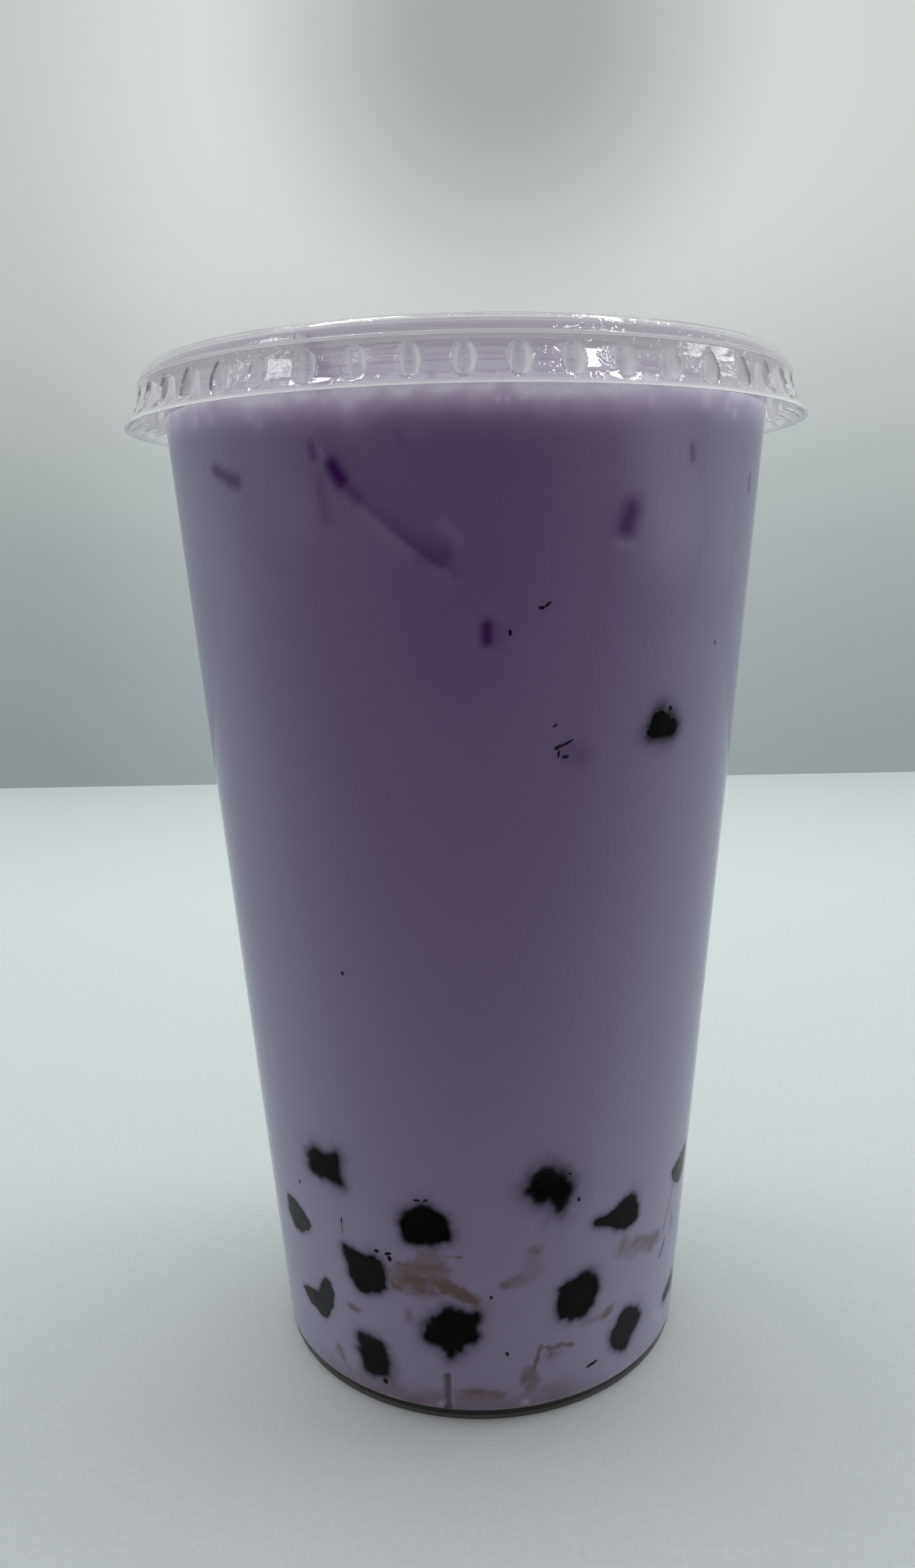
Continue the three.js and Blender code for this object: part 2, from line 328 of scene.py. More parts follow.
def clear_plastic(name, tint, ior, coat, waviness, density):
    """Clear glossy plastic. Lamps and soft light pass straight through it, as through a thin sheet.
    density is how much light it takes up, which shows where the wall is seen along its length.
    Its masks are foot, painted shade where it stands on the table, for the dark hollow under the
    cup seen through its ring, milk, where a film of tea clings to it, drip, where tea runs down it,
    and a mask of painted highlights that whitens its bright folds and edges."""
    film, run = (0.83, 0.77, 0.84), (0.36, 0.24, 0.42)
    # foot is the colour of the painted shade at the foot, and fold the white of the painted
    # highlights
    foot, fold = (0.42, 0.38, 0.36), (0.97, 0.97, 0.98)
    material, graph = new_material(name)
    milk, painted_glint = graph.attribute("milk"), graph.attribute("painted_glint")
    shade = graph.mix(milk, tint, film)
    shade = graph.mix(graph.attribute("drip"), shade, run)
    # Painted shade: the plastic darkens at the foot, where the hollow under the cup lies in shade
    shade = graph.mix(graph.attribute("foot"), shade, foot)
    # Painted highlights: bright folds, rim and lug flanks turn white and let less light through
    shade = graph.mix(painted_glint, shade, fold)
    see_through = graph.maths("SUBTRACT", 1.0, graph.times(milk, 0.2))
    see_through = graph.maths("SUBTRACT", see_through, graph.times(painted_glint, 0.7))
    plastic = graph.principled({
        "Base Color": shade,
        "Roughness": graph.remap(graph.noise(900.0), 0.3, 0.7, 0.02, 0.06),
        "IOR": ior,
        "Transmission Weight": see_through,
        "Coat Weight": coat,
        "Coat Roughness": 0.03,
        "Coat IOR": 1.45,
        "Coat Normal": graph.bump(graph.noise(1000.0), 1.0, 0.0002),
        "Normal": graph.bump(graph.noise(60.0), waviness, 0.001),
    })
    through = graph.add("BsdfTransparent", {"Color": (0.94, 0.94, 0.94)}).outputs[0]
    path = graph.add("LightPath").outputs
    soft = graph.most(path["Is Shadow Ray"], path["Is Diffuse Ray"])
    inside = {}
    if density:
        smoke = {"Color": (0.06, 0.05, 0.04), "Density": density}
        inside = {"Volume": graph.add("VolumeAbsorption", smoke).outputs[0]}
    graph.finish(graph.mix_shaders(soft, plastic, through), **inside)
    return material


def tea_material():
    """Milky lilac tea. Its masks are lower, for its paler lower part, syrup, pale for pale marks
    that are partly painted light, dent for painted shade in dents and along the fold, shadow beside
    pearls, foam, and top for the patches of foam on its level. The sheen is the bluish veil that
    milky tea has at its sides, and dark places are bare of it."""
    deep, light, low = (0.100, 0.036, 0.132), (0.114, 0.045, 0.149), (0.202, 0.142, 0.252)
    brown, pale_and_light_tone = (0.108, 0.054, 0.042), (0.40, 0.31, 0.46)
    # purple is the painted shade in dents and along the fold, black the shadow beside pearls
    shade_purple, black = (0.036, 0.004, 0.070), (0.002, 0.0025, 0.003)
    thin_foam, grey_foam, white_foam = (0.74, 0.55, 0.79), (0.80, 0.72, 0.86), (0.88, 0.80, 0.93)
    material, graph = new_material("taro_milk_tea")
    masks = ("syrup", "dent_shade", "shadow", "foam", "top")
    syrup, dent_shade, shadow, foam, top = (graph.attribute(name) for name in masks)
    grain = graph.mottle(1500.0)
    tea = graph.mix(graph.mottle(28.0, 3.0), deep, light)
    tea = graph.mix(graph.attribute("lower"), tea, low)
    tea = graph.mix(syrup, tea, brown)
    # Pale marks, partly painted light: broad ones high up, highlights over the foot and on the
    # fold's rim
    tea = graph.mix(graph.attribute("pale"), tea, pale_and_light_tone)
    # Painted shade: dents and the fold's dark side go deep purple
    tea = graph.mix(dent_shade, tea, shade_purple)
    tea = graph.mix(shadow, tea, black)
    bare = graph.most(shadow, graph.most(graph.times(syrup, 0.6), dent_shade))
    veil = graph.times(graph.maths("SUBTRACT", 1.0, bare), 0.96)
    patches = graph.soft_remap(graph.noise(150.0, 6.0), 0.36, 0.68, 0.0, 0.45)
    foam = graph.maths("ADD", foam, graph.times(top, patches))
    foam = graph.maths("MINIMUM", foam, 1.0)
    froth = graph.mix(grain, grey_foam, white_foam)
    froth = graph.mix(graph.remap(foam, 0.6, 1.0, 0.0, 1.0), thin_foam, froth)
    graph.finish(graph.principled({
        "Base Color": graph.mix(foam, tea, froth),
        "Roughness": graph.remap(grain, 0.0, 1.0, 0.42, 0.55),
        "IOR": 1.34,
        "Specular IOR Level": 0.08,
        "Sheen Weight": veil,
        "Sheen Roughness": 0.62,
        "Sheen Tint": (0.80, 0.90, 1.0),
        "Normal": graph.bump(grain, 0.05, 0.0002),
    }))
    return material


def tapioca_material():
    """Black tapioca, greyer where its mask, film, says that a film of tea lies over it."""
    material, graph = new_material("tapioca")
    blotch = graph.mottle(420.0, 3.0, 0.35)
    dark = graph.mix(blotch, (0.0003, 0.0004, 0.0006), (0.0016, 0.0016, 0.0016))
    filmed = graph.mix(blotch, (0.042, 0.048, 0.048), (0.062, 0.068, 0.062))
    graph.finish(graph.principled({
        "Base Color": graph.mix(graph.attribute("film"), dark, filmed),
        "Roughness": graph.remap(blotch, 0.0, 1.0, 0.35, 0.5),
        "IOR": 1.34,
        "Specular IOR Level": 0.05,
        "Normal": graph.bump(blotch, 0.2, 0.0003),
    }))
    return material


def bubble_material():
    """Thin-skinned milk froth: pale lilac and a little glossy."""
    material, graph = new_material("milk_froth")
    mottle = graph.mottle(700.0)
    graph.finish(graph.principled({
        "Base Color": graph.mix(mottle, (0.56, 0.47, 0.62), (0.78, 0.70, 0.83)),
        "Roughness": graph.remap(mottle, 0.0, 1.0, 0.18, 0.35),
        "IOR": 1.34,
        "Normal": graph.bump(mottle, 0.1, 0.0002),
    }))
    return material


def rib_depth(angle, height):
    """How far the stacking ribs stand in from the inner face of the wall."""
    half = RIB_WIDTH / 2
    depth = np.zeros(np.broadcast(angle, height).shape)
    for centre in RIB_ANGLES:
        across = np.radians(turned(angle, centre)) * wall_radius(height) / half
        above = np.clip(height - (RIB_TOP - half), 0, None) / half
        reach = np.clip(1 - across**2 - above**2, 0, 1)
        depth = np.maximum(depth, RIB_DEPTH * reach**0.5)
    return depth


def cup_angles():
    """Angles all the way round, closer together at the ribs."""
    plain = np.linspace(-180, 180, CUP_COLUMNS, endpoint=False)
    kept = [a for a in plain if min(abs(turned(a, c)) for c in RIB_ANGLES) > RIB_REACH]
    close = np.linspace(-RIB_REACH, RIB_REACH, RIB_COLUMNS)
    return np.sort(turned(np.array(kept + [c + s for c in RIB_ANGLES for s in close])))


def make_cup(material):
    foot = [(FLOOR_MIDDLE, FLOOR_UNDERSIDE), (RING_INNER - RING_BEVEL, FLOOR_UNDERSIDE)]
    foot += [(RING_INNER, 0), (RING_OUTER, 0), (RING_OUTER + RING_BEVEL, 0.5)]
    foot += [(wall_radius(z), z) for z in (1.8, 4)]
    outer_foot = corners_cut(foot, 3)
    outer_wall = [(wall_radius(z), z) for z in np.linspace(8, RIM_LOW - 0.3, WALL_ROWS)]
    beside = RIM_OUTER - RIM_ROUND
    inner_bead = (wall_radius(RIM_TOP) - WALL + RIM_INNER_ROUND, RIM_TOP - RIM_INNER_ROUND)
    bead = np.vstack([
        arc((beside, RIM_LOW + RIM_ROUND), RIM_ROUND, -90, 0, 8),
        arc((beside, RIM_TOP - RIM_ROUND), RIM_ROUND, 0, 90, 8),
        arc(inner_bead, RIM_INNER_ROUND, 90, 180, 6),
    ])
    heights = [*np.linspace(RIM_TOP - 2, 10, WALL_ROWS), *np.linspace(9.2, 2.9, 26)]
    inner_wall = [(wall_radius(z) - WALL, z) for z in heights]
    corner = wall_radius(FLOOR_TOP) - WALL - 0.6
    floor = [(wall_radius(2.6) - WALL, 2.6), (corner, FLOOR_TOP), (FLOOR_MIDDLE, FLOOR_TOP)]
    profile = np.vstack([outer_foot, outer_wall, bead, inner_wall, corners_cut(floor, 2)])
    angles = cup_angles()
    inside = len(outer_foot) + len(outer_wall) + len(bead)
    radius = np.repeat(profile[:, :1], len(angles), axis=1)
    height = np.repeat(profile[:, 1:], len(angles), axis=1)
    is_wall = profile[inside:, :1] > 20
    radius[inside:] -= rib_depth(angles[None], height[inside:]) * is_wall
    rings = round_the_cup(radius, angles[None], height)
    points, faces = skin(rings, (0, 0, FLOOR_UNDERSIDE), (0, 0, FLOOR_TOP))
    around, level = np.degrees(np.arctan2(points[:, 0], -points[:, 1])), points[:, 2]
    masks = {
        # Painted shade at the foot ring, for the dark hollow under the cup
        "foot": 1 - smoothstep(1.6, 2.6, level),
        "milk": smoothstep(145.5, 148.0, level),
        "drip": strokes(around, level, DRIPS),
        # Painted highlight along the top of the rim
        "painted_glint": 0.5 * np.exp(-(((level - RIM_TOP) / 0.3) ** 2)),
    }
    cup = piece("clear_cup", points, faces, material, "clear_plastic", masks, crisp=40)
    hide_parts("cup")


def lid_profile():
    """The lid's outer face from the flange's tip up and over to the middle, with how strongly each
    place is lit by a painted highlight: at the flange's edge, the crease behind the lugs and the
    fold over the skirt."""
    tip = (FLANGE_RADIUS, FLANGE_FOOT)
    flange = corners_cut([tip, (50.65, 148.75), (50.05, 149.3), (49.85, 149.8)], 1)
    skirt = [
        (49.15 + max(0, CREASE - z) * 0.34 - max(0, z - CREASE) * 0.1, z)
        for z in np.linspace(150.0, SKIRT_TOP - 0.25, 15)
    ]
    fold = [(49.06, SKIRT_TOP - 0.06), (49.06, SKIRT_TOP + 0.06), (48.84, SKIRT_TOP + 0.2)]
    shoulder = [
        (48.8, 154.1), (48.6, 154.7), (48.2, 155.5), (47.5, 156.05), (46.4, 156.3), (45.2, 156.05),
        (44.5, 155.3),
    ]
    channel = [
        (44.3, 154.8), (43.9, 153.3), (43.4, 152.4), (42.2, 151.95), (41.2, 152.5), (40.2, 154.0),
        (39.0, 154.62),
    ]
    panel = [(37.0, 154.64), (30.0, 154.68), (20.0, 154.74), (10.0, 154.78), (2.0, 154.8)]
    parts = [flange, skirt, fold, corners_cut(shoulder, 2), corners_cut(channel, 1), panel]
    profile = np.vstack(parts)
    height = profile[:, 1]
    folded = np.zeros(len(profile))
    start = len(flange) + len(skirt)
    folded[start : start + len(fold)] = (0.4, 0.5, 0.1)
    crease = 0.25 * np.exp(-(((height - CREASE) / 0.15) ** 2)) * (profile[:, 0] > 48.5)
    edge = np.exp(-(((height - FLANGE_FOOT) / 0.35) ** 2))
    return profile, np.maximum(folded, np.maximum(crease, edge))


def lug_columns(height):
    """Where a pitch of the skirt has its columns at each height, as arc lengths from the lug's
    middle, how far each lies along the lug's flank, from 1 on the crest to 0 beside the lug, and
    how bright a painted highlight each has, brighter on the right flank where the light comes from
    the right."""
    middle = (LUG_TOP + LUG_FOOT) / 2
    along = np.clip(np.abs(height - middle) / (LUG_TOP - middle), 0, 1)
    half = LUG_HALF_WIDTH * np.maximum(np.sqrt(1 - along**2), 0.35)
    crest = half * LUG_CREST_SHARE
    pitch = 2 * pi * SKIRT_RADIUS / LUG_COUNT
    flank = (1, 0.8, 0.2, 0)
    right = [crest + s * (half - crest) for s in np.linspace(0, 1, len(flank))]
    between = [half + s * (pitch - 2 * half) for s in np.linspace(0, 1, 7)[1:-1]]
    offsets = [-r for r in right[::-1]] + [0 * half] + right + between
    shares = list(flank[::-1]) + [1] + list(flank) + [0] * len(between)
    glint = [0.05, 0.1, 0.15, 0.45, 0.0, 0.55, 0.7, 0.5, 0.1] + [0] * len(between)
    return np.stack(offsets, -1), np.array(shares, float), np.array(glint, float)


def make_lid(material):
    outer, painted_glint = lid_profile()
    heading = np.gradient(outer, axis=0)
    heading /= np.linalg.norm(heading, axis=1, keepdims=True)
    inner = outer - LID_THICKNESS * np.stack([heading[:, 1], -heading[:, 0]], -1)
    inner[0] = (outer[0, 0] - LID_THICKNESS, outer[0, 1] + 0.02)
    profile = np.vstack([inner[::-1], outer])
    outer_radius, level = np.vstack([outer[::-1], outer]).T
    offsets, shares, glint = lug_columns(level)
    ends = smoothstep(LUG_FOOT, LUG_FOOT + 0.7, level)
    ends = ends * (1 - smoothstep(LUG_TOP - 0.6, LUG_TOP, level))
    is_skirt = (outer_radius > 48.4) & (level > LUG_FOOT) & (level < LUG_TOP)
    depth = np.where(is_skirt, np.clip(outer_radius - LUG_CREST_RADIUS, 0, None) * ends, 0)
    turn = (np.arange(LUG_COUNT) * 360 / LUG_COUNT)[None, :, None]
    angle = (turn + np.degrees(offsets / SKIRT_RADIUS)[:, None, :]).reshape(len(profile), -1)
    push = depth[:, None] * np.tile(shares, LUG_COUNT)
    rings = round_the_cup(profile[:, :1] - push, angle, profile[:, 1:])
    height = outer[-1, 1]
    points, faces = skin(rings, (0, 0, height - LID_THICKNESS), (0, 0, height))
    milk = np.repeat(np.where(level > SKIRT_TOP, 0.5, 0.22), angle.shape[1])
    folds = np.concatenate([painted_glint[::-1], painted_glint])
    # Painted highlights at the flange's edge, the crease, the fold and the lug flanks
    glint_strength = np.maximum(folds[:, None], (ends * is_skirt)[:, None] * np.tile(glint, LUG_COUNT))
    none = np.zeros(len(points))
    masks = {
        "foot": none,
        "milk": np.append(milk, [0.3, 0.3]),
        "drip": none,
        "painted_glint": np.append(glint_strength, [0.0, 0.0]),
    }
    lid = piece("clear_lid", points, faces, material, "lid_plastic", masks, crisp=32)
    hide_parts("lid")


# Pearls in front. angle and height place the middle, blur is how soft the edge is, film how much
# tea lies over it, and torn how ragged it is. Each halo is a dark cloud: steps right and up from
# the middle, size and strength. The outline goes round the flat patch at the wall, in the same
# steps, but in tenths of a millimetre.
PEARL_KEYS = ("angle", "height", "blur", "film", "torn", "halo", "outline")
PEARL_ROWS = [
    (-40.7, 39.2, 0.9, 0.12, 0.8, [(0.4, 0.6, 3.4, 0.45)], [(-25, 15), (-8, 18), (3, 12),
        (12, 15), (24, 26), (36, 29), (33, 3), (40, -20), (22, -13), (5, -11), (-12, -19),
        (-26, -10)]),
    (-54.5, 27.1, 0.35, 0.85, 0.5, [], [(-33, 24), (-3, 28), (25, 18), (35, 4), (42, -2),
        (29, -12), (3, -27), (-18, -27), (-32, -10), (-38, 4)]),
    (-13.3, 33.4, 0.7, 0.0, 0.4, [(0.0, 2.6, 2.4, 0.4), (2.8, 0.4, 2.0, 0.25)], [(-35, 8),
        (-16, 22), (-10, 28), (10, 31), (19, 25), (34, 19), (37, 5), (35, -17), (22, -23),
        (5, -26), (-9, -26), (-29, -27), (-30, -16)]),
    (-30.2, 23.4, 0.5, 0.15, 0.5, [(2.2, 2.4, 2.3, 0.55)], [(-39, 34), (-19, 32), (8, 25),
        (31, 25), (36, 7), (35, -19), (20, -30), (2, -34), (-16, -36), (-23, -19), (-31, 8)]),
    (18.0, 39.1, 1.1, 0.0, 0.9, [(-1.2, 2.2, 3.0, 0.6), (-2.4, -0.6, 2.2, 0.35)], [(-44, 2),
        (-34, 11), (-31, 23), (-22, 27), (-9, 20), (6, 11), (19, 4), (17, -8), (13, -20),
        (8, -33), (5, -41), (3, -26), (1, -17), (-8, -12), (-16, -17), (-23, -16), (-31, -5)]),
    (39.2, 31.2, 0.45, 0.2, 0.5, [(0.8, 2.0, 2.4, 0.35)], [(7, 26), (20, 14), (25, -5),
        (21, -19), (8, -25), (-6, -27), (-16, -25), (-25, -19), (-37, -10), (-51, -6), (-67, 4),
        (-56, 9), (-47, 7.5), (-31, 9), (-16, 19), (-3, 25)]),
    (67.0, 31.0, 0.4, 0.9, 0.5, [], [(34, 18), (26, -4), (12, -20), (-12, -23), (-32, -12),
        (-46, 4), (-47, 18), (-30, 23), (-6, 24), (16, 36)]),
    (-48.5, 14.5, 0.3, 0.75, 0.5, [(0.4, 1.4, 2.4, 0.15)], [(-47, -4), (-22, 4), (-5, 5),
        (6, 14), (14, 35), (28, 46), (38, 43), (43, 21), (35, -6), (12, -34), (-2, -33),
        (-25, -24), (-47, -18)]),
    (-30.6, 8.8, 0.7, 0.2, 0.7, [(2.2, -1.6, 2.6, 0.35)], [(-19, 32), (-3, 31), (17, 28),
        (31, 18), (32, 4), (28, -18), (19, -28), (4, -35), (-14, -32), (-17, -16), (-15, 4),
        (-19, 20)]),
    (-7.1, 15.3, 0.8, 0.03, 1.0, [(-3.4, 0.6, 2.4, 0.6), (0.4, 3.2, 2.6, 0.4)], [(-22, 28),
        (-9, 43), (-1, 38), (16, 36), (35, 38), (42, 31), (35, 23), (37, 9), (36, 0), (23, -11),
        (14, -13), (9, -26), (-2, -34), (-9, -28), (-23, -21), (-33, -14), (-39, -4), (-32, 12)]),
    (25.4, 19.1, 0.55, 0.12, 0.5, [(1.4, 2.4, 2.8, 0.35)], [(11, 41), (24, 31), (32, 13),
        (31, 0), (23, -17), (10, -32), (-5, -33), (-21, -27), (-34, -19), (-36, -2), (-34, 21),
        (-24, 31), (-7, 36)]),
    (43.0, 9.4, 0.6, 0.4, 0.5, [(0.0, 0.6, 3.6, 0.3)], [(-15, 44), (2, 38), (23, 25), (29, 13),
        (26, -1), (14, -8), (3, -20), (0, -36), (-14, -32), (-32, -18), (-39, -6), (-37, 14),
        (-26, 29)]),
    (67.5, 9.2, 0.5, 0.6, 0.5, [], [(23, 14), (38, -14), (5, -17), (-26, -15), (-34, -3),
        (-16, 7), (-2, 15)]),
    (38.7, 105.8, 0.7, 0.0, 0.5, [(0.0, 0.4, 3.2, 0.4)], [(-29, -14), (-23, 0), (-15, 14),
        (-6, 19), (5, 14), (15, 6), (28, 5), (30, -5), (25, -19), (7, -15), (-11, -13)]),
]
FRONT_PEARLS = [
    dict(zip(PEARL_KEYS, row), node=f"pearl_{n:02d}") for n, row in enumerate(PEARL_ROWS, 1)
]


def back_outline(random):
    """A ragged outline for a pearl on the hidden side."""
    count = 11
    turn = np.arange(count) * 2 * pi / count
    reach = 33 * (1 + 0.28 * (random.random(count) - 0.5) * 2)
    return list(zip(reach * np.cos(turn), reach * 0.95 * np.sin(turn)))


def back_pearls():
    """Pearls on the hidden side, each where its solid is."""
    random = np.random.default_rng(11)
    names = sorted(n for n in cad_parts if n.startswith("pearl_"))[len(FRONT_PEARLS):]
    pearls = []
    for name in names:
        low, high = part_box(name)
        middle = (low + high) / 2
        angle = degrees(atan2(middle.x, -middle.y))
        blur = 0.4 + 0.6 * random.random()
        film = 0.7 * random.random() ** 2
        row = (angle, middle.z / MM, blur, film, 0.5, [], back_outline(random))
        pearls.append(dict(zip(PEARL_KEYS, row), node=name))
    return pearls


def ragged_outline(pearl):
    """The pearl's outline with its corners rounded and its edge torn a little."""
    line = closed_line(np.array(pearl["outline"]) / 10, 3)
    away = np.linalg.norm(line, axis=1, keepdims=True)
    number = int(pearl["node"][-2:])
    torn = noise(line[:, 0] + 9 * number, line[:, 1], cell=0.8, seed=60 + number) - 0.5
    return line * (1 + 2.2 * pearl["torn"] * torn[:, None] / np.maximum(away, 1.0))


def on_wall(place, across, up, depth):
    """Points at steps right and up from a place on the wall, and in from just inside its face."""
    height = place["height"] + up
    radius = wall_radius(height) - PEARL_UNDER_FACE - depth
    return round_the_cup(radius, place["angle"] + np.degrees(across / radius), height)


def pearl_rings(pearl, outline, reach, back_depth):
    """Rings from the middle of the flat patch out to its edge and round the pearl's back."""
    size = np.ptp(outline, axis=0) / 2
    middle = (outline.max(axis=0) + outline.min(axis=0)) / 2
    turn = np.arctan2(outline[:, 1] - middle[1], outline[:, 0] - middle[0])
    rings = [on_wall(pearl, *(share * outline).T, 0.0) for share in (0.25, 0.5, 0.75, 0.93)]
    rings.append(on_wall(pearl, *outline.T, 0.03))
    smooth = middle + np.stack([size[0] * np.cos(turn), size[1] * np.sin(turn)], -1)
    for depth in back_depth * np.linspace(0.12, 0.97, 9):
        off = (depth - PEARL_SEAT) / (back_depth - PEARL_SEAT)
        bulge = reach * sqrt(max(0.02, 1 - off**2))
        near = exp(-depth / 0.8)
        shape = near * outline + (1 - near) * (middle + (smooth - middle) * bulge)
        rings.append(on_wall(pearl, *shape.T, depth))
    front = on_wall(pearl, 0.0, 0.0, 0.0)
    back = on_wall(pearl, middle[0], middle[1], back_depth)
    return np.array(rings), front, back


def make_pearls(pearls, material):
    back_depth = PEARL_SEAT + PEARL_HALF_DEPTH
    for number, pearl in enumerate(pearls, 1):
        outline = ragged_outline(pearl)
        reach = min(1.32, 5.0 / (np.ptp(outline, axis=0) / 2).max())
        points, faces = skin(*pearl_rings(pearl, outline, reach, back_depth))
        x, y = outline.T
        if np.sum(x * np.roll(y, -1) - y * np.roll(x, -1)) > 0:
            faces = [face[::-1] for face in faces]
        masks = {"film": np.full(len(points), pearl["film"])}
        made = piece(f"tapioca_{number:02d}", points, faces, material, "tapioca", masks)
        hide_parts(pearl["node"])


# Scraps of tapioca at the wall: angle, height, width, tallness and lean. A lean is in degrees and
# raises the right end.
SCRAPS = [
    (-14.5, 37.7, 1.1, 0.4, 0), (-12.4, 37.8, 0.9, 0.4, 20), (-25.9, 27.8, 0.8, 0.6, 0),
    (-22.8, 27.8, 1.2, 0.5, 20), (-22.4, 27.0, 0.7, 1.0, 0), (-26.5, 4.7, 0.9, 1.0, 20),
    (-51.0, 34.1, 0.3, 1.0, -20), (-35.8, 31.2, 0.25, 0.9, 0), (21.4, 40.9, 0.6, 0.45, 0),
    (24.0, 36.3, 0.5, 0.8, 10), (30.3, 6.5, 2.2, 0.5, 15), (6.4, 12.0, 0.6, 0.5, 0),
    (2.5, 21.9, 0.5, 0.6, 0), (40.6, 107.9, 0.8, 0.7, 0), (15.8, 104.1, 1.3, 0.55, 25),
    (17.6, 104.6, 2.0, 0.35, 25), (16.0, 103.2, 0.35, 1.0, -10), (17.3, 102.8, 1.0, 0.5, 0),
    (15.2, 107.0, 0.8, 0.3, 30), (12.4, 122.1, 0.9, 0.45, 0), (13.5, 122.5, 1.1, 0.35, 35),
    (7.0, 119.1, 0.5, 0.8, 0), (54.1, 116.2, 0.3, 0.6, 10), (-28.5, 71.9, 0.45, 0.6, 0),
    (6.5, 11.6, 0.4, 0.3, 0),
]


def make_scraps(material):
    random = np.random.default_rng(5)
    count = 20
    turn = np.linspace(0, 2 * pi, count, endpoint=False)
    steps = ((0.5, 0.0), (0.9, 0.0), (1.0, 0.04), (0.9, 0.3), (0.5, 0.5))
    parts, films = [], []
    for angle, height, wide, tall, lean in SCRAPS:
        uneven = 1 + 0.3 * (random.random(count) - 0.5)
        right, up = wide / 2 * np.cos(turn) * uneven, tall / 2 * np.sin(turn) * uneven
        shape = np.stack(tilted(right, up, lean), -1)
        place = dict(angle=angle, height=height)
        rings = np.array([on_wall(place, *(share * shape).T, depth) for share, depth in steps])
        ends = (on_wall(place, 0.0, 0.0, depth) for depth in (0.0, 0.55))
        points, faces = skin(rings, *ends)
        parts.append((points, [face[::-1] for face in faces]))
        films.append(np.full(len(points), 0.1 + 0.25 * random.random()))
    masks = {"film": np.concatenate(films)}
    piece("tapioca_scraps", *merged(parts), material, "tapioca", masks)


# Syrup on the wall. Washes are broad and faint: angle, height, half width, half tallness, lean
# and strength.
SYRUP_WASHES = [
    (-16.6, 24.2, 4.2, 2.4, -8, 0.8), (-11.5, 26.6, 2.6, 2.6, 0, 0.6),
    (-9.0, 24.0, 3.4, 1.2, -28, 1.0), (-3.8, 22.2, 2.6, 0.9, -32, 1.1),
    (-1.2, 20.6, 0.9, 1.2, 0, 0.45), (6.2, 23.9, 0.9, 0.7, 0, 0.75), (9.8, 24.4, 2.6, 1.1, 12, 0.5),
    (12.8, 26.5, 1.4, 2.4, 10, 0.28), (13.2, 29.2, 1.1, 0.9, 0, 0.5),
    (38.8, 26.0, 1.2, 1.9, -10, 0.5), (46.5, 23.5, 4.6, 1.7, -14, 0.65),
    (62.5, 22.9, 0.7, 2.6, 15, 0.4), (34.6, 14.9, 1.3, 0.7, 25, 0.85),
    (29.5, 14.5, 1.8, 0.5, 5, 0.5), (18.4, 10.8, 1.6, 1.0, 0, 0.5), (12.2, 6.6, 1.2, 2.2, 12, 0.75),
    (16.0, 4.4, 3.4, 1.0, 0, 0.5), (-34.6, 16.1, 1.3, 0.6, 0, 0.55),
    (-33.2, 26.0, 0.7, 1.2, 0, 0.25), (-18.4, 17.7, 0.6, 1.1, 0, 0.5),
    (-23.5, 7.5, 0.9, 2.6, -8, 0.55), (-3.0, 4.6, 2.6, 1.2, 0, 0.75), (3.5, 4.6, 2.0, 0.8, 0, 0.55),
    (-42.0, 6.4, 1.2, 1.0, 30, 0.35), (117.0, 24.0, 3.8, 2.4, -20, 0.75),
    (156.0, 15.5, 2.8, 1.6, 15, 0.6), (-155.0, 23.0, 3.6, 2.2, -15, 0.75),
    (-115.0, 12.0, 2.8, 1.4, 10, 0.55), (-92.0, 28.0, 2.0, 2.4, 30, 0.5),
]

# Thin syrup lines: the places along each, its half width and strength
SYRUP_LINES = [
    ([(15.0, 12.4), (18.1, 11.7), (21.0, 11.9), (24.1, 11.3)], 0.32, 1.0),
    ([(15.0, 12.2), (14.0, 10.1), (13.4, 8.4)], 0.3, 0.9),
    ([(18.1, 11.4), (17.6, 10.0)], 0.35, 0.6), ([(58.5, 20.6), (56.6, 18.6)], 0.5, 1.0),
    ([(-36.2, 31.0), (-35.6, 28.4)], 0.22, 0.8),
    ([(-42.4, 7.7), (-41.1, 5.7), (-38.0, 3.4)], 0.25, 0.8),
    ([(-21.0, 23.4), (-14.0, 21.4)], 0.3, 0.5), ([(-10.0, 28.8), (-6.0, 28.6)], 0.22, 0.6),
    ([(-6.0, 28.8), (-3.6, 28.5)], 0.18, 0.9), ([(-24.6, 10.0), (-25.3, 5.1)], 0.25, 0.7),
    ([(62.0, 31.0), (57.0, 23.0)], 0.35, 0.5),
]

# How browned the tea is just over the foot: between these angles and under this height
SYRUP_FOOT = (-50.0, 30.0, 6.0)

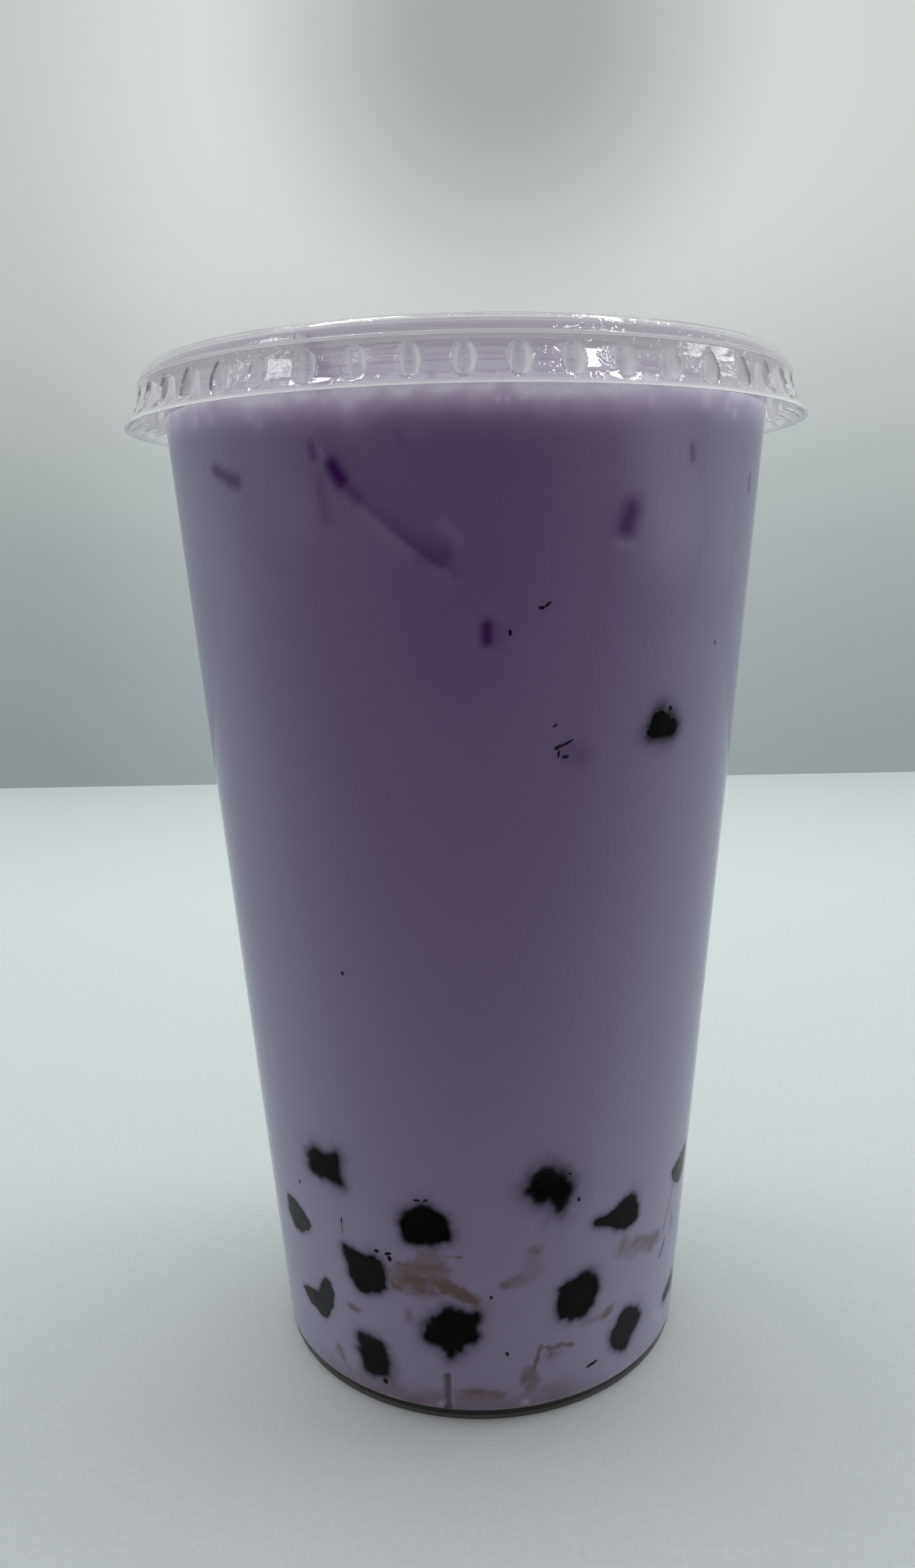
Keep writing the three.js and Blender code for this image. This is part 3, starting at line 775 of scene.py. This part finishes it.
# Painted shade in dents in the tea near the top, deep purple: the two ends, the half width and the
# strength
DENT_SHADES = [
    ((3.1, 120.0), (3.1, 118.2), 0.95, 0.95), ((4.3, 119.4), (4.1, 118.2), 1.4, 0.32),
    ((4.6, 119.4), (5.4, 119.0), 0.6, 0.3), ((-48.6, 140.6), (-44.5, 139.2), 0.9, 0.6),
    ((-44.5, 139.2), (-42.6, 138.8), 1.1, 0.6), ((-25.5, 142.6), (-24.9, 140.8), 0.6, 0.6),
    ((-24.4, 138.6), (-23.6, 133.6), 0.8, 0.32), ((-21.8, 139.8), (-20.4, 138.0), 1.35, 1.0),
    ((-20.4, 138.0), (-17.6, 135.8), 1.2, 0.55), ((-6.6, 129.0), (-3.6, 128.6), 1.9, 0.5),
    ((27.5, 131.8), (28.3, 134.0), 1.7, 0.75), ((28.6, 133.6), (30.0, 135.2), 1.0, 0.25),
    ((41.0, 142.0), (41.4, 140.4), 0.6, 0.5), ((64.3, 138.9), (64.5, 137.0), 0.5, 0.6),
    ((-76.5, 132.0), (-76.0, 129.0), 0.7, 0.6), ((-81.0, 116.0), (-80.0, 112.0), 0.6, 0.45),
    ((-10.5, 143.2), (-10.3, 142.4), 0.6, 0.2), ((18.2, 103.4), (20.6, 102.8), 1.6, 0.3),
    ((126.0, 131.0), (128.0, 134.0), 1.1, 0.7), ((-139.0, 126.0), (-137.5, 128.5), 0.9, 0.6),
]

# Where tea has run down the inside of the wall, over the level, in the same form
DRIPS = [
    ((-22.6, 154.0), (-22.2, 150.6), 0.8, 0.8), ((-22.2, 150.6), (-20.8, 147.6), 1.6, 0.7),
    ((-25.5, 149.6), (-24.5, 147.6), 0.7, 0.4), ((12.0, 150.4), (16.0, 150.2), 0.9, 0.35),
    ((-12.0, 150.2), (-2.0, 149.6), 0.35, 0.5), ((98.0, 152.0), (99.0, 149.0), 1.0, 0.6),
    ((-131.0, 151.5), (-130.0, 149.0), 1.0, 0.6),
]

# Pale marks in the tea, in the same form. The broad ones high up are painted light from the
# lamps at the sides and behind, and the two small ones just over the foot are painted highlights.
PALES = [
    ((26.4, 130.0), (28.8, 129.6), 0.9, 0.22), ((30.4, 134.5), (31.2, 137.5), 1.3, 0.12),
    ((31.2, 139.8), (32.0, 142.0), 1.8, 0.22), ((33.0, 146.0), (38.0, 132.0), 6.5, 0.26),
    ((50.0, 145.0), (52.0, 130.0), 6.0, 0.15), ((20.0, 147.0), (22.0, 139.0), 4.0, 0.06),
    ((-60.0, 138.0), (-50.0, 126.0), 7.0, 0.07), ((-33.0, 140.0), (-30.0, 134.0), 4.0, 0.06),
    ((-4.0, 132.5), (-1.2, 130.5), 0.8, 0.1), ((-2.0, 128.0), (-1.4, 130.0), 0.7, 0.1),
    ((-59.3, 54.4), (-57.5, 54.0), 0.4, 0.35), ((-62.0, 52.6), (-58.0, 52.2), 0.3, 0.3),
    ((10.8, 2.9), (11.4, 2.9), 0.55, 0.9), ((-10.9, 2.8), (-10.5, 2.8), 0.5, 0.8),
    ((56.0, 8.0), (62.0, 5.5), 0.8, 0.3),
]

# The long slanting fold near the top, which is only painted: painted shade above right of it and
# a painted highlight along its rim below left
CREASE_PATH = [
    (-22.3, 140.4), (-21.0, 138.6), (-18.9, 136.6), (-15.8, 134.4), (-12.0, 132.0), (-8.3, 129.6),
    (-4.6, 127.6),
]

# Froth just under the level: places of the larger blobs, with their sizes and strengths
FROTH_BLOBS = [
    (-53.5, 147.3, 1.0, 0.35), (-47.9, 147.0, 0.9, 0.3), (-37.5, 146.6, 0.9, 0.3),
    (-35.5, 145.6, 0.9, 0.22), (-30.8, 148.9, 1.8, 0.75), (-22.6, 147.7, 0.9, 0.6),
    (-18.5, 147.0, 1.3, 0.5), (-18.0, 145.6, 2.2, 0.14), (-15.5, 148.1, 0.8, 0.6),
    (-3.8, 148.2, 0.7, 0.6), (0.8, 146.9, 0.6, 0.4), (5.2, 146.8, 0.4, 0.5),
    (6.6, 146.8, 0.45, 0.55), (9.0, 147.2, 0.6, 0.45), (31.1, 147.3, 0.8, 0.45),
    (43.9, 148.2, 1.2, 0.7), (50.1, 147.6, 0.8, 0.5), (53.3, 146.6, 0.8, 0.4),
]


def to_line(angle, height, start, end):
    """How far each place on the wall is from a straight stroke, and how far along it lies."""
    scale = radians(1) * wall_radius((start[1] + end[1]) / 2)
    u, v = turned(angle, start[0]) * scale, height - start[1]
    du, dv = (end[0] - start[0]) * scale, end[1] - start[1]
    share = np.clip((u * du + v * dv) / (du * du + dv * dv), 0, 1)
    return np.hypot(u - share * du, v - share * dv), share


def strokes(angle, height, marks):
    """Soft strokes, each falling off from its middle line."""
    mask = np.zeros_like(angle)
    for start, end, half, strength in marks:
        away, _ = to_line(angle, height, start, end)
        mask = np.maximum(mask, strength * np.exp(-((away / half) ** 2.4)))
    return mask


def syrup_mask(angle, height):
    arc_length = np.radians(angle) * wall_radius(height)
    torn = noise(arc_length, height, cell=2.2, seed=3)
    streaky = noise(arc_length + 0.6 * height, 2.0 * height, cell=2.8, seed=4)
    fine = noise(arc_length, height, cell=0.5, seed=6)
    mask = np.zeros_like(angle)
    for place, level, wide, tall, lean, strength in SYRUP_WASHES:
        u, v = np.radians(turned(angle, place)) * wall_radius(level), height - level
        along, across = tilted(u, v, -lean)
        away = np.hypot(along / wide, across / tall) / 1.3
        edge = 0.75 + 0.9 * (torn - 0.5) + 0.5 * (fine - 0.5)
        wash = strength * (1 - smoothstep(edge - 0.35, edge + 0.45, away))
        mask = np.maximum(mask, wash * (0.4 + 1.3 * streaky))
    for path, half, strength in SYRUP_LINES:
        edge = half * (0.4 + 1.2 * torn)
        for start, end in zip(path, path[1:]):
            away, _ = to_line(angle, height, start, end)
            line = strength * (1 - smoothstep(0.5 * edge, 1.5 * edge, away)) * (0.5 + fine)
            mask = np.maximum(mask, line)
    low, high, level = SYRUP_FOOT
    aside = smoothstep(low - 12, low + 12, angle) * (1 - smoothstep(high - 12, high + 12, angle))
    under = 1 - smoothstep(level - 4.0, level + 3.0 * (torn - 0.3), height)
    mask = np.maximum(mask, 0.6 * aside * under * (0.5 + torn))
    return np.clip(mask, 0, 1)


def to_outline(here, line):
    """How far places are from a closed outline. Those inside it are at 0."""
    here = here[:, None]
    after = np.roll(line, -1, axis=0)
    step = after - line
    share = np.clip(((here - line) * step).sum(-1) / (step**2).sum(-1), 0, 1)
    away = np.linalg.norm(here - (line + share[..., None] * step), axis=-1).min(axis=1)
    crossing = (line[:, 1] > here[..., 1]) != (after[:, 1] > here[..., 1])
    rise = np.where(step[:, 1] == 0, 1e-9, step[:, 1])
    at = line[:, 0] + (here[..., 1] - line[:, 1]) * step[:, 0] / rise
    inside = (crossing & (here[..., 0] < at)).sum(axis=1) % 2 == 1
    return np.where(inside, 0, away)


def shadow_mask(angle, height, pearls):
    """The soft dark edge where each pearl draws back from the wall, and its dark clouds."""
    mask = np.zeros_like(angle)
    wisps = noise(np.radians(angle) * wall_radius(height), height, cell=1.4, seed=8)
    for pearl in pearls:
        film = pearl["film"]
        u = np.radians(turned(angle, pearl["angle"])) * wall_radius(height)
        v = height - pearl["height"]
        near = np.flatnonzero(np.hypot(u, v) < 12)
        u, v = u[near], v[near]
        away = to_outline(np.stack([u, v], -1), ragged_outline(pearl))
        blur = pearl["blur"] * (0.7 + 0.8 * wisps[near])
        soft = (1 - 0.55 * film) * np.exp(-((away / blur) ** 1.3))
        wide = 0.16 * (1 - film) * np.exp(-((away / (2.6 * blur)) ** 2))
        for across, up, reach, strength in pearl["halo"]:
            cloud = np.exp(-((np.hypot(u - across, v - up) / reach) ** 2.2))
            wide = np.maximum(wide, strength * cloud * (0.6 + 0.8 * wisps[near]))
        mask[near] = np.maximum(mask[near], np.clip(soft + wide, 0, 1))
    return mask


def foam_mask(angle, height):
    """The ragged band of foam just under the level, deeper at the sides, with blobs in it."""
    arc_length = np.radians(angle) * wall_radius(DRINK_LEVEL)
    broad = noise(arc_length, 0 * height, cell=14.0, seed=21) - 0.5
    close = noise(arc_length, 0 * height, cell=4.0, seed=22) - 0.5
    sway = 1.6 * broad + 0.9 * close
    side = smoothstep(15, 55, np.abs(turned(angle)))
    below = np.clip(148.3 + 0.6 * sway + side - height, 0, None)
    band = np.exp(-((below / 2.1) ** 1.4))
    mask = band * (0.7 + 0.65 * noise(arc_length, height, cell=2.6, seed=23))
    for where, level, size, strength in FROTH_BLOBS:
        away, _ = to_line(angle, height, (where, level), (where + 0.01, level))
        mask = mask + 0.8 * strength * np.exp(-((away / size) ** 2.5)) * (1 - mask)
    return np.clip(mask, 0, 1)


def crease_masks(angle, height):
    """The slanting fold as painted shade above right, and a thin painted highlight along its rim
    below left.
    """
    near = np.full_like(angle, 1e3)
    side = np.zeros_like(angle)
    along = np.zeros_like(angle)
    spans = list(zip(CREASE_PATH, CREASE_PATH[1:]))
    scale = radians(1) * wall_radius(134.0)
    for number, (start, end) in enumerate(spans):
        away, share = to_line(angle, height, start, end)
        right, up = (end[0] - start[0]) * scale, end[1] - start[1]
        turn = right * (height - start[1]) - (angle - start[0]) * scale * up
        closer = away < near
        near = np.where(closer, away, near)
        side = np.where(closer, np.sign(turn), side)
        along = np.where(closer, (number + share) / len(spans), along)
    ends = np.exp(-((near / 4.5) ** 2))
    deep = 0.5 + 0.14 * np.cos(2 * pi * along)
    dark = np.where(side > 0, np.exp(-near / (2.0 + 1.4 * along)), np.exp(-((near / 0.5) ** 2)))
    pale = np.where(side < 0, np.exp(-near / 1.0) * (1 - np.exp(-near / 0.5)), 0)
    return deep * dark * ends, 0.3 * pale * ends


def drink_angles():
    """Columns of the drink, closer together in front and at the ribs."""
    angles = np.concatenate([np.arange(-100, 100, 0.72), np.arange(100, 260, 1.25)])
    for centre in RIB_ANGLES:
        kept = angles[np.abs(turned(angles, centre)) > 2.2]
        angles = np.concatenate([kept, centre + np.linspace(-2, 2, 15)])
    return np.sort((angles + 100) % 360 - 100)


# Rows of the drink up its wall: from each height, in steps of that size. They are closest at the
# pearls, the fold and the foam.
DRINK_ROWS = [
    (2.2, 0.45), (46, 2.6), (100, 1.4), (116, 0.7), (123, 1.2), (127, 0.55), (143.4, 0.35),
]


def drink_profile():
    """The drink from the middle of its foot out, up the wall and in over its level to the middle,
    with how many of its rows lie before the wall and at it."""
    ends = [start for start, _ in DRINK_ROWS[1:]] + [DRINK_LEVEL - 0.6]
    rows = [np.arange(start, end, step) for (start, step), end in zip(DRINK_ROWS, ends)]
    wall = [(wall_radius(z) - INTO_WALL, z) for z in np.concatenate(rows)]
    level = DRINK_LEVEL - 0.35
    edge = wall_radius(DRINK_LEVEL) - INTO_WALL
    foot = wall_radius(2.2) - INTO_WALL
    bottom = [(r, DRINK_FOOT) for r in (DRINK_CENTRE_RING, 15.0, 28.0, foot - 1.2)]
    bottom += [(foot - 0.5, DRINK_FOOT + 0.08), (foot - 0.15, 1.9)]
    corner = [(edge, DRINK_LEVEL - 0.4), (edge, DRINK_LEVEL), (edge - 0.9, DRINK_LEVEL - 0.1)]
    top = corners_cut(corner + [(edge - 2.2, level)], 2)
    flat = [(r, level) for r in (40.0, 36.0, 32.0, 28.0, 23.0, 17.0, 10.0, DRINK_CENTRE_RING)]
    return np.vstack([bottom, wall, top, flat]), len(bottom), len(wall)


def make_drink(material, pearls):
    profile, before, rows = drink_profile()
    edge = wall_radius(DRINK_LEVEL) - INTO_WALL
    angles = drink_angles()
    radius = np.repeat(profile[:, :1], len(angles), axis=1)
    height = np.repeat(profile[:, 1:], len(angles), axis=1)
    at_wall = slice(before, before + rows)
    radius[at_wall] -= rib_depth(angles[None], height[at_wall])
    uneven = noise(np.radians(angles[None]) * 30, radius, cell=6.0, seed=31) - 0.5
    is_level = (height > DRINK_LEVEL - 0.5) & (radius < edge - 0.5) & (radius > 12)
    height = height + np.where(is_level, 0.2 * uneven, 0)
    rings = round_the_cup(radius, angles[None], height)
    ends = (0, 0, DRINK_FOOT), (0, 0, DRINK_LEVEL - 0.35)
    points, faces = skin(rings, *ends)
    a, z, inward = np.tile(angles, len(profile)), height.ravel(), radius.ravel()
    crease_shade, crease_highlight = crease_masks(a, z)
    topside = (z > DRINK_LEVEL - 0.6) & (inward < edge - 0.2)
    rib = 0.45 * smoothstep(0.2, 0.8, rib_depth(a, z) / RIB_DEPTH)
    masks = {
        "foam": np.where(topside, 0.3 + 0.3 * smoothstep(34, 44, inward), foam_mask(a, z)),
        "top": np.where(topside, 1.0, 0.0),
        "lower": np.clip((125 - z) / 110, 0, 1) ** 1.3,
        # Painted light and shade of the fold: its painted highlight joins the pale marks, and its
        # painted shade joins the shade in dents
        "pale": np.maximum(strokes(a, z, PALES), crease_highlight),
        "dent_shade": np.maximum(strokes(a, z, DENT_SHADES), crease_shade),
        "syrup": np.maximum(syrup_mask(a, z), rib),
        "shadow": shadow_mask(a, z, pearls),
    }
    masks = {name: np.append(values, [0.0, values[-1]]) for name, values in masks.items()}
    drink = piece("taro_tea", points, faces, material, "taro_tea", masks, crisp=50)
    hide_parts("drink")


def ball(radius):
    """Points and faces of a small ball about the origin."""
    rows, columns = 6, 10
    tilt = np.radians(np.linspace(-90, 90, rows + 2)[1:-1])
    turn = np.linspace(0, 2 * pi, columns, endpoint=False)
    flat, rise = radius * np.cos(tilt)[:, None], radius * np.sin(tilt)[:, None]
    rings = np.stack([flat * np.cos(turn), flat * np.sin(turn), rise + 0 * turn], -1)
    return skin(rings, (0, 0, -radius), (0, 0, radius))


def make_bubbles(material):
    """Small bubbles in a ragged ring where the level meets the wall, with a few further in."""
    random = np.random.default_rng(17)
    inner = wall_radius(DRINK_LEVEL) - WALL
    parts, placed = [], []
    for number in range(900):
        at_ring = number % 4
        size = 0.22 + 0.75 * random.random() ** 3
        angle = 360 * random.random()
        inward = 2.4 * random.random() ** 3 if at_ring else 26 * random.random() ** 1.5
        radius = inner - (size + 0.05 + inward)
        level = DRINK_LEVEL - 0.45 + size * (0.15 + 0.35 * random.random())
        centre = round_the_cup(radius, angle, level)
        bare = at_ring and noise(radians(angle) * inner, 0.0, cell=9.0, seed=41) < 0.42
        if bare or any(np.linalg.norm(centre - c) < 0.85 * (size + s) for c, s in placed):
            continue
        placed.append((centre, size))
        points, faces = ball(size)
        parts.append((points + centre, faces))
    piece("froth_bubbles", *merged(parts), material, "taro_tea")


# The table ends in a straight far edge, and a pale wall stands behind it, in metres
TABLE_EDGE = 0.503
STAGE_REACH = 3.0
WALL_TOP = 1.6


def stage_plane(name, corners, material):
    mesh = bpy.data.meshes.new(name)
    mesh.from_pydata(corners, [], [tuple(range(len(corners)))])
    mesh.materials.append(material)
    new_object(name, mesh)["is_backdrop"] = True


def floor_material():
    """A pale table with painted light: darker near the camera, where less light reaches, and a
    little lighter in line with the cup and at left.
    """
    material, graph = new_material("pale_table")
    speck = graph.mottle(900.0)
    x, y, _ = graph.split(graph.place())
    # Painted light: the near tone is darker than the far one, as less light reaches the front
    near_tone = graph.mix(speck, (0.48, 0.498, 0.492), (0.51, 0.528, 0.522))
    far_tone = graph.mix(speck, (0.59, 0.63, 0.62), (0.61, 0.65, 0.64))
    # Painted light: a little lighter in line with the cup and towards the left
    middle = graph.remap(graph.maths("ABSOLUTE", x), 0.08, 0.22, 1.06, 1.0)
    aside = graph.times(middle, graph.remap(x, -0.15, 0.15, 1.02, 1.0))
    tone = graph.mix(graph.remap(y, -0.1, 0.25, 0.0, 1.0), near_tone, far_tone)
    shade = graph.mix(1.0, tone, aside, "MULTIPLY")
    graph.finish(graph.principled({"Base Color": shade, "Roughness": 0.65}))
    return material


# The wall's glow, painted light that is dim at the table's edge and brighter higher up, at shares
# of the height that WALL_RAMP_TOP gives
WALL_RAMP_TOP = 0.45
WALL_RAMP = [
    (0.0, (0.262, 0.305, 0.319)), (0.3, (0.376, 0.412, 0.418)), (0.45, (0.445, 0.49, 0.485)),
    (0.62, (0.585, 0.61, 0.595)), (0.8, (0.61, 0.645, 0.62)), (1.0, (0.60, 0.64, 0.61)),
]


def wall_material():
    """A wall that glows with painted light: dim at the table's edge and brighter higher up, with a
    painted shadow over the cup, and darker at both sides."""
    material, graph = new_material("pale_wall")
    place = graph.place()
    x, _, z = graph.split(place)
    ramp = graph.add("ValToRGB", {0: graph.remap(z, 0.0, WALL_RAMP_TOP, 0.0, 1.0)})
    stops = ramp.color_ramp.elements
    for spot, _ in WALL_RAMP[1:-1]:
        stops.new(spot)
    for stop, (_, tone) in zip(stops, WALL_RAMP):
        stop.color = (*tone, 1.0)
    ramp.color_ramp.interpolation = "B_SPLINE"
    # Painted shadow: a soft dim patch on the wall over the cup
    off = graph.add("VectorMath", {0: place, 1: (-0.025, 0.0, -0.41)}, operation="ADD").outputs[0]
    off = graph.add("VectorMath", {0: off, 1: (7.0, 0.0, 7.0)}, operation="MULTIPLY").outputs[0]
    away = graph.add("VectorMath", {0: off}, operation="LENGTH").outputs["Value"]
    painted_shadow = graph.soft_remap(away, 0.2, 1.2, 0.57, 1.0)
    # Painted light: darker towards both sides
    left = graph.soft_remap(x, -0.27, -0.13, 0.86, 1.05)
    right = graph.soft_remap(x, 0.12, 0.27, 1.05, 0.97)
    tone = graph.mix(1.0, ramp.outputs[0], graph.times(painted_shadow, graph.times(left, right)), "MULTIPLY")
    graph.finish(graph.add("Emission", {"Color": tone, "Strength": 1.0}).outputs[0])
    return material


def make_stage():
    side, back, low, high = STAGE_REACH, TABLE_EDGE + 0.002, -0.5, WALL_TOP
    floor = [(-side, -side, 0), (side, -side, 0), (side, TABLE_EDGE, 0), (-side, TABLE_EDGE, 0)]
    wall = [(-side, back, low), (side, back, low), (side, back, high), (-side, back, high)]
    stage_plane("table", floor, floor_material())
    stage_plane("backdrop", wall, wall_material())


def make_world():
    """Soft light all round, a little stronger from behind. Mirrored in gloss it is nearly black
    from in front, and seen straight it is plain."""
    world = bpy.data.worlds.new("soft_light")
    scene.world = world
    graph = Graph(world)

    def background(tone):
        return graph.add("Background", {"Color": tone, "Strength": 1.0}).outputs[0]

    _, y, _ = graph.split(graph.add("TexCoord").outputs["Generated"])
    behind, aside = graph.remap(y, -1.0, 0.8, 0.0, 1.0), graph.remap(y, -0.8, 0.2, 0.0, 1.0)
    lit = background(graph.mix(behind, (0.50, 0.48, 0.50), (0.58, 0.64, 0.66)))
    mirrored = background(graph.mix(aside, (0.03, 0.03, 0.035), (0.46, 0.50, 0.52)))
    plain = background((0.50, 0.53, 0.53))
    path = graph.add("LightPath").outputs
    seen = graph.most(path["Is Camera Ray"], path["Is Transmission Ray"])
    glossy = graph.mix_shaders(path["Is Glossy Ray"], lit, mirrored)
    graph.finish(graph.mix_shaders(seen, glossy, plain), "OutputWorld")


# Lamps: name, place, target, size and power. The soft ones light things and don't show in gloss,
# and the mirrored ones only show in gloss.
COOL = (0.93, 0.98, 1.0)
WHITE = (1.0, 1.0, 1.0)
CUP_TOP = (0.0, 0.0, 0.15)
CUP_MIDDLE = (0.0, 0.0, 0.08)
SOFT_LAMPS = [
    ("high_behind", (0.0, 0.25, 1.1), (0.0, 0.05, 0.0), (1.2, 0.5), 5.6),
    ("left_side", (-0.9, 0.15, 0.45), CUP_MIDDLE, (0.5, 0.8), 2.0),
    ("right_side", (0.9, 0.15, 0.45), CUP_MIDDLE, (0.5, 0.8), 3.1),
]
MIRRORED_LAMPS = [
    ("streak_left", (-0.36, 0.30, 1.2), CUP_TOP, (0.6, 0.05), 4.0),
    ("streak_right", (0.48, 0.25, 1.2), CUP_TOP, (0.8, 0.05), 5.0),
    ("sparkle", (0.531, -0.538, 0.703), CUP_TOP, (0.12, 0.18), 2.2),
    ("patch_left", (-0.751, -0.276, 0.63), CUP_TOP, (0.22, 0.25), 1.3),
    ("patch_right", (0.917, -0.011, 0.51), CUP_TOP, (0.4, 0.2), 1.8),
]


def make_lamps(lamps, tone, mirrored):
    for name, place, target, size, power in lamps:
        lamp = bpy.data.lights.new(name, "AREA")
        lamp.shape = "RECTANGLE"
        lamp.size, lamp.size_y = size
        lamp.energy = power
        lamp.color = tone
        made = new_object(name, lamp)
        made.location = place
        aim = Vector(target) - Vector(place)
        made.rotation_euler = aim.to_track_quat("-Z", "Y").to_euler()
        made.visible_glossy = mirrored
        made.visible_diffuse = not mirrored
        made.visible_transmission = False


def make_camera():
    pitch, pan, roll = (radians(a) for a in (CAMERA_PITCH, CAMERA_PAN, CAMERA_ROLL))
    forward = Vector((sin(pan) * cos(pitch), cos(pan) * cos(pitch), -sin(pitch)))
    level = Vector((cos(pan), -sin(pan), 0))
    above = level.cross(forward)
    right = cos(roll) * level + sin(roll) * above
    up = -sin(roll) * level + cos(roll) * above
    data = bpy.data.cameras.new("camera")
    data.sensor_width = SENSOR
    data.lens = LENS
    data.clip_start = 0.01
    made = new_object("camera", data)
    turn = Matrix((right, up, -forward)).transposed().to_4x4()
    made.matrix_world = Matrix.Translation(Vector(CAMERA_PLACE) * MM) @ turn
    scene.camera = made


def set_look():
    scene.view_settings.view_transform = "Standard"
    scene.view_settings.look = "None"
    scene.cycles.max_bounces = 24
    scene.cycles.transmission_bounces = 24
    scene.cycles.transparent_max_bounces = 32
    scene.cycles.caustics_reflective = False
    scene.cycles.caustics_refractive = False


pearls = FRONT_PEARLS + back_pearls()
tapioca = tapioca_material()
cup_tint, lid_tint = (0.97, 0.98, 0.98), (0.985, 0.985, 0.985)
make_cup(clear_plastic("cup_plastic", cup_tint, ior=1.07, coat=0.0, waviness=0.02, density=60.0))
make_lid(clear_plastic("lid_plastic", lid_tint, ior=1.3, coat=0.6, waviness=0.06, density=0.0))
make_pearls(pearls, tapioca)
make_scraps(tapioca)
make_drink(tea_material(), pearls)
make_bubbles(bubble_material())
make_stage()
make_world()
make_lamps(SOFT_LAMPS, COOL, False)
make_lamps(MIRRORED_LAMPS, WHITE, True)
make_camera()
set_look()

boxes = {"cad": cad_box, "visual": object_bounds()}
boxes = {name: [list(corner) for corner in box] for name, box in boxes.items()}
